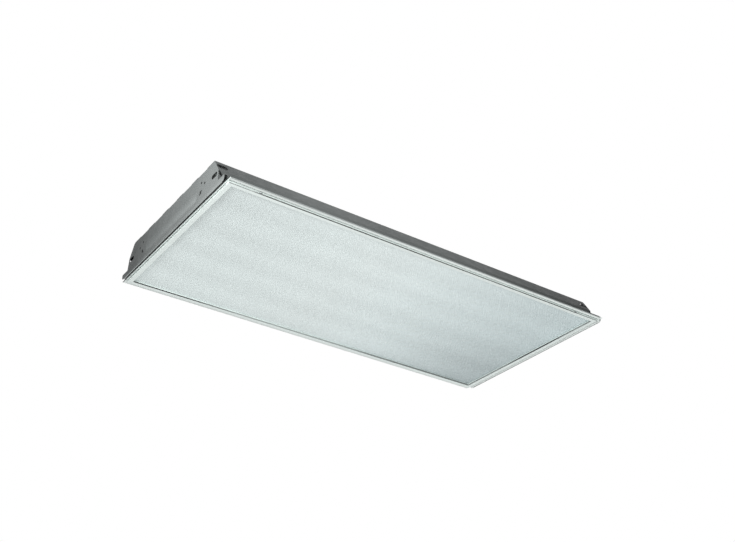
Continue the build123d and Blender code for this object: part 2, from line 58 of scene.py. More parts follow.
# Places that the finishes follow, in metres
FLANGE_TOP = 0.0054
FLANGE_RIM_Y = 0.2984         # the outer edge of the near flange shows grey from here on
UPRIGHT_Y = 0.2906            # face of the upright beside the door
DOOR_LENGTH, DOOR_WIDTH = 1.184, 0.575
RAIL_FACE = 0.013
OPENING_X = DOOR_LENGTH / 2 - RAIL_FACE     # half length and half width of the door's opening
OPENING_Y = DOOR_WIDTH / 2 - RAIL_FACE
TRIM_X = 0.599                # outer face of an end trim
HEM_X, HEM_TOP = 0.6035, 0.0019
TUBE_HALF = 0.5973            # half length of a lamp's glass
# the shoulder starts at the knee and leans inwards by this much for each metre up
KNEE_Y, KNEE_Z, SHOULDER_LEAN = 0.2528, 0.0515, 0.628
POCKET_X, POCKET_Z = 0.589, 0.02            # pockets at the corners lie beyond these
TAB_X, TAB_LOW, TAB_HIGH = 0.576, 0.06, 0.08
BEAD_HALF, BEAD_LOW, BEAD_MIDDLE, BEAD_HIGH = 0.146, 0.017, 0.030, 0.049
# the welds start far to the left, so that their pattern has no break in the middle
WELD_SPACING, WELD_START, WELD_Z = 0.08, 10.02, 0.0455
WELD_FLAT, WELD_RADIUS = 0.0018, 0.0032

# A face belongs to the inside of the fixture when it looks outwards by less than this
INSIDE_LIMIT = -0.3

# Range of a noise that a finish follows; what lies beyond it counts as its end
NOISE_LOW, NOISE_HIGH = 0.3, 0.7

# Rims of painted shade round the openings of each sheet: centre along the wall and up, half
# length of the slot's axis, radius of the rim and tilt
RELIEF_RIM = ((0.5995, 0.0395), 0.0067, 0.003, radians(62))
WINDOW_RIM = ((0.590, 0.070), 0.0065, 0.0085, 0.0)
HANGER_RIM = ((0.2355, 0.0425), 0.007, 0.0064, 0.0)
HIGH_HOLE_RIM = ((0.166, 0.061), 0.0, 0.0036, 0.0)
LOW_HOLE_RIM = ((0.184, 0.0505), 0.0, 0.0036, 0.0)
HOLDER_RIM = ((0.165, 0.0325), 0.0045, 0.0032, radians(50))
RIMS = {
    "end": (HANGER_RIM, HIGH_HOLE_RIM, LOW_HOLE_RIM, HOLDER_RIM),
    "side": (RELIEF_RIM,),
    "top": (RELIEF_RIM, WINDOW_RIM),
}

# Soft boxes of the studio: name, place, size, power
LAMPS = (
    ("Box below", (0.9, 0.6, -2.6), 2.4, 31.5),
    ("Box low left", (-1.5, -1.4, -0.9), 0.9, 9.0),
    ("Box beside", (-1.65, -1.12, -0.14), 0.7, 29.0),
    ("Box above", (0.8, 2.5, 2.5), 2.6, 75.0),
)
FLOOR_SIZE = 40.0
FLOOR_GLOW = 0.55             # light that the camera sees on the floor beyond its own colour


# --- Node trees --------------------------------------------------------------

def shade(tree, kind, **values):
    """Add a shader node. A value that is a socket is linked, any other is set."""
    made = tree.nodes.new("ShaderNode" + kind)
    for name, value in values.items():
        if hasattr(made, name):
            setattr(made, name, value)
            continue
        socket = made.inputs[int(name[1:]) if name[0] == "_" else name.replace("_", " ")]
        if isinstance(value, bpy.types.NodeSocket):
            tree.links.new(value, socket)
        else:
            socket.default_value = value
    return made


def start_material(name):
    """Material without nodes; returns the material and its tree."""
    material = bpy.data.materials.new(name)
    material.use_nodes = True
    material.node_tree.nodes.clear()
    return material, material.node_tree


def place_of(tree):
    return shade(tree, "TexCoord").outputs["Object"]


def arithmetic(tree, operation, first, second=0.0, third=0.0):
    return shade(tree, "Math", operation=operation, _0=first, _1=second, _2=third).outputs[0]


def plus(tree, first, second):
    return arithmetic(tree, "ADD", first, second)


def minus(tree, first, second):
    return arithmetic(tree, "SUBTRACT", first, second)


def larger(tree, first, second):
    return arithmetic(tree, "MAXIMUM", first, second)


def stretched(tree, place, x, y, z):
    """Place scaled along each axis, to draw a pattern out in one direction."""
    return shade(tree, "Mapping", Vector=place, Scale=(x, y, z)).outputs[0]


def noise(tree, place, scale, detail=3.0, roughness=0.5):
    return shade(tree, "TexNoise", Vector=place, Scale=scale, Detail=detail,
                 Roughness=roughness).outputs["Fac"]


def spread(tree, value, low, high, to_low, to_high):
    """Map a range of values onto another, without going past its ends."""
    return shade(tree, "MapRange", Value=value, From_Min=low, From_Max=high,
                 To_Min=to_low, To_Max=to_high).outputs[0]


def varied(tree, cloud, low, high):
    """Value that follows a noise between two limits."""
    return spread(tree, cloud, NOISE_LOW, NOISE_HIGH, low, high)


def blend_colours(tree, share, first, second):
    mix = shade(tree, "Mix", data_type="RGBA")
    for index, value in ((0, share), (6, first), (7, second)):
        if isinstance(value, bpy.types.NodeSocket):
            tree.links.new(value, mix.inputs[index])
        else:
            mix.inputs[index].default_value = value
    return mix.outputs[2]


def bumped(tree, height, strength, distance):
    return shade(tree, "Bump", Strength=strength, Distance=distance, Height=height).outputs[0]


def finish_material(tree, shader):
    output = shade(tree, "OutputMaterial")
    tree.links.new(shader.outputs[0], output.inputs["Surface"])


def dress(names, material):
    """Give CAD nodes one material. Their meshes stay as they are."""
    for name in names:
        mesh = nodes[name].data
        mesh.materials.clear()
        mesh.materials.append(material)


def darker(colour, share):
    """Colour times a share; a share above 1 makes it paler."""
    return tuple(channel * share for channel in colour[:3]) + (1.0,)


def mottled(tree, cloud, colour, share):
    """Colour with darker patches that follow a noise."""
    return blend_colours(tree, varied(tree, cloud, 0.0, 1.0), darker(colour, share), colour)


def parts_of(tree, vector):
    return shade(tree, "SeparateXYZ", Vector=vector).outputs


def axes_of(tree, place):
    """The place along X, Y and Z, one by one."""
    parts = parts_of(tree, place)
    return parts["X"], parts["Y"], parts["Z"]


def facing_of(tree):
    """Normal of the surface along the piece's own axes."""
    return parts_of(tree, shade(tree, "TexCoord").outputs["Normal"])


def size_of(tree, value):
    """Value without its sign."""
    return arithmetic(tree, "ABSOLUTE", value)


def away(tree, facing, value):
    """How far a face looks away from the middle of the fixture along one axis."""
    return every(tree, facing, arithmetic(tree, "SIGN", value))


def distance_of(tree, across, up):
    """Distance from a centre that lies at 0, 0."""
    flat = shade(tree, "CombineXYZ", X=across, Y=up).outputs[0]
    return shade(tree, "VectorMath", operation="LENGTH", _0=flat).outputs["Value"]


def beyond(tree, value, edge, soft):
    """1 above an edge, 0 below it."""
    return spread(tree, value, edge - soft, edge + soft, 0.0, 1.0)


def short_of(tree, value, edge, soft):
    """1 below an edge, 0 above it."""
    return spread(tree, value, edge - soft, edge + soft, 1.0, 0.0)


def between(tree, value, low, high, soft):
    """1 between two edges, 0 outside them."""
    return every(tree, beyond(tree, value, low, soft), short_of(tree, value, high, soft))


def looking_down(tree, facing):
    """1 on faces that look down."""
    return short_of(tree, facing["Z"], -0.5, 0.1)


def every(tree, first, *others):
    """Share that is left where several masks overlap."""
    for other in others:
        first = arithmetic(tree, "MULTIPLY", first, other)
    return first


def tinted(tree, colour, share):
    """Colour made lighter or darker by a share that changes over the surface."""
    grey = shade(tree, "CombineXYZ", X=share, Y=share, Z=share).outputs[0]
    mix = shade(tree, "Mix", data_type="RGBA", blend_type="MULTIPLY")
    tree.links.new(colour, mix.inputs[6])
    tree.links.new(grey, mix.inputs[7])
    mix.inputs[0].default_value = 1.0
    return mix.outputs[2]


# --- Modelling ---------------------------------------------------------------

def deselect():
    if bpy.context.object and bpy.context.object.mode != "OBJECT":
        bpy.ops.object.mode_set(mode="OBJECT")
    bpy.ops.object.select_all(action="DESELECT")


def close_piece(piece, name, body, material, stands_for=()):
    """Name a finished piece, apply its place and put it on its body."""
    deselect()
    piece.select_set(True)
    bpy.context.view_layer.objects.active = piece
    bpy.ops.object.transform_apply(location=True, rotation=True, scale=True)
    piece.name = name
    piece.data.name = name
    piece.data.materials.clear()
    piece.data.materials.append(material)
    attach(piece, body)
    if stands_for:
        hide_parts(*stands_for)
    piece.select_set(False)


def activate(piece):
    deselect()
    piece.select_set(True)
    bpy.context.view_layer.objects.active = piece


def solid_between(low, high):
    """Block between two corners."""
    deselect()
    size = [b - a for a, b in zip(low, high)]
    bpy.ops.mesh.primitive_cube_add(size=1, location=[(a + b) / 2 for a, b in zip(low, high)], scale=size)
    bpy.ops.object.transform_apply(location=True, rotation=True, scale=True)
    return bpy.context.object


def rod(direction, centre, radius, length, sides):
    """Cylinder along X or Z."""
    deselect()
    turn = (0, pi / 2, 0) if direction == "X" else (0, 0, 0)
    bpy.ops.mesh.primitive_cylinder_add(vertices=sides, radius=radius, depth=length,
                                        location=centre, rotation=turn)
    bpy.ops.object.transform_apply(location=True, rotation=True, scale=True)
    return bpy.context.object


def finish_with(piece, kind, **options):
    """Add a modifier and apply it."""
    activate(piece)
    bpy.ops.object.modifier_add(type=kind)
    modifier = piece.modifiers[-1]
    for name, value in options.items():
        setattr(modifier, name, value)
    bpy.ops.object.modifier_apply(modifier=modifier.name)


def cut(piece, tool, operation="DIFFERENCE"):
    """Take a solid out of a piece, or unite them. The solid is used up."""
    bpy.context.view_layer.update()
    finish_with(piece, "BOOLEAN", object=tool, operation=operation, solver="EXACT")
    bpy.data.objects.remove(tool)


def unite(piece, other):
    cut(piece, other, "UNION")


def cut_off(piece, place, outward):
    """Slice a piece with a plane and close the cut; what lies outward of it goes."""
    activate(piece)
    bpy.ops.object.mode_set(mode="EDIT")
    bpy.ops.mesh.select_all(action="SELECT")
    bpy.ops.mesh.bisect(plane_co=place, plane_no=Vector(outward).normalized(), use_fill=True,
                        clear_outer=True, threshold=0.000001)
    bpy.ops.mesh.select_all(action="SELECT")
    bpy.ops.mesh.normals_make_consistent(inside=False)
    bpy.ops.object.mode_set(mode="OBJECT")


def round_edges(piece, width):
    """Small rounding along the sharp edges."""
    finish_with(piece, "BEVEL", width=width, segments=2, limit_method="ANGLE", angle_limit=radians(40))
    bpy.ops.object.shade_smooth_by_angle(angle=radians(35))


def pick_faces(piece, wanted):
    """Select only the faces that pass a test on their place or normal."""
    activate(piece)
    bpy.ops.object.mode_set(mode="EDIT")
    bpy.ops.mesh.select_all(action="DESELECT")
    bpy.ops.mesh.select_mode(type="FACE")
    bpy.ops.object.mode_set(mode="OBJECT")
    for face in piece.data.polygons:
        face.select = wanted(face)


def copied(piece):
    """Copy with a mesh of its own."""
    twin = bpy.data.objects.new(piece.name, piece.data.copy())
    bpy.context.scene.collection.objects.link(twin)
    return twin


def rounded_copy(node, name, body, material, width):
    """Copy of a CAD node with its doubles merged and its edges eased, shown in its place."""
    piece = bpy.data.objects.new(name, nodes[node].data.copy())
    bpy.context.scene.collection.objects.link(piece)
    piece.matrix_world = nodes[node].matrix_world
    activate(piece)
    bpy.ops.object.mode_set(mode="EDIT")
    bpy.ops.mesh.select_all(action="SELECT")
    bpy.ops.mesh.remove_doubles(threshold=0.00001)
    bpy.ops.mesh.dissolve_limited(angle_limit=radians(1))
    bpy.ops.object.mode_set(mode="OBJECT")
    round_edges(piece, width)
    close_piece(piece, name, body, material, (node,))


def metal(name, colour, smooth, rough, grain):
    """Bare or plated metal with a drawn grain; grain is its fineness along each axis."""
    material, tree = start_material(name)
    place = place_of(tree)
    lines = noise(tree, stretched(tree, place, *grain), 1.0, 4.0, 0.6)
    patch = noise(tree, place, 70.0, 4.0, 0.6)
    plate = shade(tree, "BsdfPrincipled", Base_Color=mottled(tree, patch, colour, 0.82), Metallic=1.0,
                  Roughness=varied(tree, patch, smooth, rough),
                  Normal=bumped(tree, lines, 0.15, 0.0002))
    finish_material(tree, plate)
    return material


# --- Settings ----------------------------------------------------------------

def length_setting(name, description, default):
    return bpy.props.FloatProperty(name=name, description=description, default=default,
                                   unit="LENGTH", precision=5)


def colour_setting(name, description, default):
    return bpy.props.FloatVectorProperty(name=name, description=description, size=4,
                                         default=(*default, 1.0), subtype="COLOR", min=0.0, max=1.0)


class StudioSettings(bpy.types.PropertyGroup):
    floor_drop: length_setting("Floor drop", "How far the floor lies below the door", 3.05)
    floor_colour: colour_setting("Floor colour", "Colour of the floor", (0.82, 0.82, 0.82))
    sky_light: bpy.props.FloatProperty(name="Sky light", default=0.3,
                                       description="Strength of the even light all round")
    azimuth: bpy.props.FloatProperty(name="Azimuth", description="Direction of the camera round the light",
                                     default=radians(-34.46), subtype="ANGLE")
    elevation: bpy.props.FloatProperty(name="Elevation", description="Height of the camera, negative below",
                                       default=radians(-30.211), subtype="ANGLE")
    roll: bpy.props.FloatProperty(name="Roll", description="Tilt of the camera about its own line of sight",
                                  default=radians(0.564), subtype="ANGLE")
    stand: bpy.props.FloatVectorProperty(name="Camera place", description="Where the camera stands",
                                         default=(-1.4756, -2.1425, -1.4152), subtype="TRANSLATION")
    focal: bpy.props.FloatProperty(name="Focal length", default=52.39,
                                   description="Focal length on a 36 mm wide sensor, in mm")


class EnamelSettings(bpy.types.PropertyGroup):
    outside: colour_setting("Outside", "Colour of the housing's outer faces", (0.165, 0.178, 0.176))
    inside: colour_setting("Inside", "Colour of the reflecting inner faces and flanges", (0.78, 0.83, 0.81))
    frame: colour_setting("Frame", "Colour of the door frame and end trims", (0.86, 0.94, 0.915))
    dust: colour_setting("Dust", "Colour of the dust on top", (0.30, 0.29, 0.27))
    # painted shade: near black, given to the recesses, gaps, openings and joint lines where the light doesn't
    # reach
    recess: colour_setting("Recess", "Colour inside joints and recesses", (0.02, 0.022, 0.022))


class SealSettings(bpy.types.PropertyGroup):
    length: length_setting("Length", "Length of the end seal", 0.574)
    rise: length_setting("Rise", "Height of the underside at the trim", 0.0046)
    colour: colour_setting("Colour", "Colour of the vinyl", (0.80, 0.85, 0.83))


class LensSettings(bpy.types.PropertyGroup):
    colour: colour_setting("Lens colour", "Colour of the acrylic with white behind it", (0.812, 0.897, 0.888))
    # painted shade: towards the right the acrylic is given a darker, cooler colour
    shaded_right_colour: colour_setting("Right colour", "Colour of the acrylic towards the right",
                               (0.752, 0.883, 0.895))
    pitch: length_setting("Prism pitch", "Side of a prism's square base", 0.00476)
    depth: length_setting("Prism depth", "Depth of a prism", 0.00058)
    # bands of painted light, where the lamps would glow through the acrylic
    glow_band: length_setting("Lane width", "Distance between two bands of light", 0.117)


class HolderSettings(bpy.types.PropertyGroup):
    width: length_setting("Width", "Width of the round foot", 0.024)
    neck: length_setting("Neck", "Width of the neck", 0.020)
    bore: length_setting("Bore", "Radius of the bore for the rotor", 0.009)
    entry: length_setting("Entry", "Width of the entry slot", 0.0032)
    peg: length_setting("Peg", "Height of the mounting peg", 0.0024)
    colour: colour_setting("Colour", "Colour of the moulding", (0.80, 0.80, 0.77))
    rotor_colour: colour_setting("Rotor colour", "Colour of the rotor", (0.74, 0.74, 0.72))
    pad_colour: colour_setting("Pad colour", "Colour of the fibre pads", (0.018, 0.019, 0.019))


class LampSettings(bpy.types.PropertyGroup):
    powder: colour_setting("Powder", "Colour of the phosphor behind the glass", (0.84, 0.85, 0.84))
    aluminium: colour_setting("Aluminium", "Colour of the caps", (0.72, 0.73, 0.74))
    brass: colour_setting("Brass", "Colour of the pins", (0.72, 0.55, 0.28))


class WiringSettings(bpy.types.PropertyGroup):
    case: colour_setting("Ballast case", "Colour of the ballast's steel case", (0.55, 0.56, 0.57))
    bundle: colour_setting("Bundle", "Colour of the sleeve round the ballast leads", (0.03, 0.03, 0.032))
    holder_lead: colour_setting("Holder lead", "Colour of the leads to the holders", (0.55, 0.50, 0.08))


class FastenerSettings(bpy.types.PropertyGroup):
    pan_radius: length_setting("Pan radius", "Radius of a pan head", 0.0034)
    washer_radius: length_setting("Washer radius", "Radius of a washer flange", 0.0045)
    zinc: colour_setting("Zinc", "Colour of the zinc plating", (0.60, 0.62, 0.64))
    ground: colour_setting("Ground", "Colour of the ground screw", (0.05, 0.32, 0.10))


# --- Operators ---------------------------------------------------------------

class TROFFER_OT_studio(bpy.types.Operator):
    """Build the floor, the lights and the camera"""
    bl_idname = "troffer.studio"
    bl_label = "Studio"

    def execute(self, context):
        settings = context.scene.troffer_studio
        self.lay_floor(settings)
        self.light_sky(context, settings)
        for lamp in LAMPS:
            self.hang_lamp(*lamp)
        self.set_camera(context, settings)
        context.scene.view_settings.view_transform = "Standard"
        return {"FINISHED"}

    def lay_floor(self, settings):
        bpy.ops.mesh.primitive_plane_add(size=FLOOR_SIZE, location=(0, 0, -settings.floor_drop))
        floor = bpy.context.object
        bpy.ops.object.transform_apply(location=True)
        floor.name = "floor"
        material, tree = start_material("pale floor")
        paper = shade(tree, "BsdfDiffuse", Color=settings.floor_colour)
        glow = shade(tree, "Emission", Color=(1, 1, 1, 1), Strength=FLOOR_GLOW)
        lit = shade(tree, "AddShader", _0=paper.outputs[0], _1=glow.outputs[0])
        seen = self.seen_by_eye(tree)
        both = shade(tree, "MixShader", Fac=seen, _1=paper.outputs[0], _2=lit.outputs[0])
        finish_material(tree, both)
        floor.data.materials.append(material)

    def seen_by_eye(self, tree):
        """1 for camera rays and for the rays that gloss and glass send on."""
        path = shade(tree, "LightPath").outputs
        gloss = larger(tree, path["Is Glossy Ray"], path["Is Transmission Ray"])
        return larger(tree, path["Is Camera Ray"], gloss)

    def light_sky(self, context, settings):
        world = bpy.data.worlds.new("white room")
        world.use_nodes = True
        tree = world.node_tree
        tree.nodes.clear()
        white = shade(tree, "Background", Color=(1, 1, 1, 1), Strength=1.0)
        sky = shade(tree, "Background", Color=(1, 1, 1, 1), Strength=settings.sky_light)
        both = shade(tree, "MixShader", Fac=self.seen_by_eye(tree), _1=sky.outputs[0], _2=white.outputs[0])
        output = shade(tree, "OutputWorld")
        tree.links.new(both.outputs[0], output.inputs["Surface"])
        context.scene.world = world

    def hang_lamp(self, name, place, size, power):
        bpy.ops.object.light_add(type="AREA", location=place)
        lamp = bpy.context.object
        lamp.name = name
        lamp.data.size = size
        lamp.data.energy = power
        lamp.rotation_mode = "QUATERNION"
        lamp.rotation_quaternion = (-Vector(place)).to_track_quat("-Z", "Y")

    def set_camera(self, context, settings):
        turn = (Matrix.Rotation(settings.azimuth, 4, "Z")
                @ Matrix.Rotation(pi / 2 - settings.elevation, 4, "X")
                @ Matrix.Rotation(settings.roll, 4, "Z"))
        bpy.ops.object.camera_add()
        camera = bpy.context.object
        camera.matrix_world = Matrix.Translation(settings.stand) @ turn
        camera.data.lens = settings.focal
        camera.data.sensor_width = 36
        camera.data.sensor_fit = "HORIZONTAL"
        camera.data.clip_start = 0.05
        context.scene.camera = camera


class TROFFER_OT_housing(bpy.types.Operator):
    """Paint the housing: grey outside, white inside and on the flanges, with painted light and shade"""
    bl_idname = "troffer.housing"
    bl_label = "Housing"

    def execute(self, context):
        settings = context.scene.troffer_enamel
        dress(("housing_top", "access_plate"), self.enamel("top pan enamel", settings, "top"))
        dress(("end_plate_left", "end_plate_right"), self.enamel("end plate enamel", settings, "end"))
        dress(("side_rail_near", "side_rail_far"), self.enamel("side rail enamel", settings, "side"))
        return {"FINISHED"}

    def enamel(self, name, settings, piece):
        """Paint of one kind of sheet, with the dark places of that sheet."""
        material, tree = start_material(name)
        place = place_of(tree)
        x, y, z = axes_of(tree, place)
        facing = facing_of(tree)
        if piece == "end":
            outward = away(tree, facing["X"], x)
        else:
            outward = plus(tree, away(tree, facing["Y"], y), facing["Z"])
        outside = beyond(tree, outward, INSIDE_LIMIT, 0.05)
        if piece == "side":
            # all of the flange is white
            outside = every(tree, outside, beyond(tree, z, FLANGE_TOP, 0.0001))
        dust = every(tree, beyond(tree, facing["Z"], 0.8, 0.1), noise(tree, place, 14.0, 6.0, 0.7))
        # painted light and shade across each sheet, times a random variation of the paint
        tone = self.end_painted_light(tree, y, z) if piece == "end" else self.long_painted_shade(tree, x)
        tone = every(tree, tone, varied(tree, noise(tree, place, 6.0, 4.0, 0.6), 0.92, 1.06))
        grey = tinted(tree, self.worn_grey(tree, settings, place, dust), tone)
        colour = blend_colours(tree, outside, settings.inside, grey)
        if piece != "end":
            # painted shade: the pockets behind the slots and windows at the corners are painted near black,
            # as they stay in the dark
            pocket_shade = every(tree, beyond(tree, size_of(tree, x), POCKET_X, 0.002),
                           beyond(tree, z, POCKET_Z, 0.001), short_of(tree, outward, INSIDE_LIMIT, 0.05))
            colour = blend_colours(tree, pocket_shade, colour, settings.recess)
        # painted shade round the punched holes and slots
        colour = blend_colours(tree, self.opening_shade_rims(tree, piece, x, y, z), colour, settings.recess)
        if piece == "side":
            colour = self.near_flange(tree, settings, colour, (x, y, z), facing)
        if piece == "top":
            # painted shade on the tabs behind the windows
            colour = blend_colours(tree, self.window_tab_shade(tree, x, y, z), colour, settings.recess)
        if piece == "end":
            # painted shade on the underside of the left hem
            colour = self.left_hem_shade(tree, settings, colour, x, z, facing)
        height = plus(tree, every(tree, noise(tree, place, 900.0, 2.0), 0.25), self.weld_dents(tree, x, z))
        gloss = plus(tree, varied(tree, noise(tree, place, 40.0), 0.45, 0.62), every(tree, dust, 0.25))
        paint = shade(tree, "BsdfPrincipled", Base_Color=colour, Roughness=gloss, Specular_IOR_Level=0.1,
                      Normal=bumped(tree, height, 0.3, 0.0004))
        finish_material(tree, paint)
        return material

    def worn_grey(self, tree, settings, place, dust):
        """Grey coat with dust on top and paler scuffs drawn out along the fixture."""
        grey = blend_colours(tree, every(tree, dust, 0.5), settings.outside, settings.dust)
        scuff = noise(tree, stretched(tree, place, 2.0, 30.0, 60.0), 12.0, 5.0, 0.65)
        rubbed = every(tree, beyond(tree, scuff, 0.66, 0.03), noise(tree, place, 5.0, 2.0), 0.5)
        return blend_colours(tree, rubbed, grey, darker(settings.outside, 1.7))

    def long_painted_shade(self, tree, x):
        """Painted shade on the long sheets: darker towards both ends."""
        right = spread(tree, x, 0.15, 0.58, 1.0, 0.5)
        left = spread(tree, x, -0.58, -0.35, 0.64, 1.0)
        return every(tree, right, left)

    def end_painted_light(self, tree, y, z):
        """Painted light and shade on the end plates: lighter at the near corner, along the foot and on the
        bead (painted highlight), darker towards the far corner (painted shade).
        """
        # painted shade growing towards the far side, deepest at the far corner
        shade_towards_far = spread(tree, y, -0.24, 0.24, 1.33, 0.6)
        far_corner_shade = spread(tree, y, 0.12, 0.2, 1.0, 0.8)
        # painted highlight along the bead, strongest at its middle height
        bead_highlight = every(tree, short_of(tree, size_of(tree, y), BEAD_HALF, 0.004),
                     spread(tree, z, BEAD_LOW, BEAD_MIDDLE, 0.0, 0.4),
                     spread(tree, z, BEAD_MIDDLE, BEAD_HIGH, 1.0, 0.0))
        # painted light along the foot, the plate above it a little darker
        foot = spread(tree, z, 0.004, 0.012, 0.1, -0.08)
        return every(tree, shade_towards_far, far_corner_shade, plus(tree, plus(tree, bead_highlight, foot), 1.0))

    def opening_shade_rims(self, tree, piece, x, y, z):
        """Rims of painted shade round the punched holes and slots, 1 on a rim."""
        along = size_of(tree, y if piece == "end" else x)
        rims = 0.0
        for centre, half_length, radius, tilt in RIMS[piece]:
            across = minus(tree, along, centre[0])
            up = minus(tree, z, centre[1])
            if tilt:
                flat = shade(tree, "CombineXYZ", X=across, Y=up).outputs[0]
                turned = shade(tree, "VectorRotate", rotation_type="Z_AXIS", Angle=-tilt, Vector=flat)
                across, up, _ = axes_of(tree, turned.outputs[0])
            past_axis = larger(tree, minus(tree, size_of(tree, across), half_length), 0.0)
            rim = short_of(tree, distance_of(tree, past_axis, up), radius, 0.0004)
            rims = larger(tree, rim, rims)
        return rims

    def near_flange(self, tree, settings, colour, place, facing):
        """Near flange: painted light growing to the right, painted shade on its grey outer edge, and a
        painted shadow line beside the door.
        """
        x, y, z = place
        near = short_of(tree, y, 0.0, 0.001)
        low = short_of(tree, z, FLANGE_TOP, 0.0001)
        under = every(tree, low, looking_down(tree, facing))
        # painted light: the underside of the near flange grows lighter towards the right
        painted_light_right = tinted(tree, colour, spread(tree, x, -0.5, 0.0, 0.96, 1.17))
        colour = blend_colours(tree, every(tree, under, near), colour, painted_light_right)
        # painted shade on the flange's outer edge
        edge = every(tree, low, short_of(tree, y, -FLANGE_RIM_Y, 0.0010), 0.8)
        colour = blend_colours(tree, edge, colour, darker(settings.outside, 1.6))
        # painted shadow line on the flange beside the door, faded out at both its ends
        shadow_line = every(tree, under, near, beyond(tree, y, -UPRIGHT_Y, 0.0003),
                     spread(tree, x, -0.5, -0.4, 0.0, 0.6), spread(tree, x, -0.1, 0.15, 1.0, 0.0))
        return blend_colours(tree, shadow_line, colour, settings.recess)

    def window_tab_shade(self, tree, x, y, z):
        """The tabs bent in behind the windows, 1 on a tab: painted shade, as they stay in the dark."""
        shoulder = minus(tree, KNEE_Y, every(tree, minus(tree, z, KNEE_Z), SHOULDER_LEAN))
        behind = minus(tree, size_of(tree, y), shoulder)
        return every(tree, short_of(tree, behind, -0.0011, 0.0002),
                     beyond(tree, size_of(tree, x), TAB_X, 0.001), between(tree, z, TAB_LOW, TAB_HIGH, 0.001))

    def left_hem_shade(self, tree, settings, colour, x, z, facing):
        """Underside of the left end's hem: painted shade, grey on its edge and near black in the groove
        beside it.
        """
        hem = every(tree, short_of(tree, z, HEM_TOP, 0.0001), short_of(tree, x, 0.0, 0.001),
                    looking_down(tree, facing))
        groove = short_of(tree, size_of(tree, x), HEM_X, 0.0002)
        shadow = blend_colours(tree, groove, darker(settings.outside, 2.3), settings.recess)
        return blend_colours(tree, hem, colour, shadow)

    def weld_dents(self, tree, x, z):
        """Row of round spot welds along the lap of the top pan over the walls."""
        along = arithmetic(tree, "PINGPONG", plus(tree, x, WELD_START), WELD_SPACING / 2)
        distance = distance_of(tree, along, minus(tree, z, WELD_Z))
        return spread(tree, distance, WELD_FLAT, WELD_RADIUS, 0.0, 1.0)


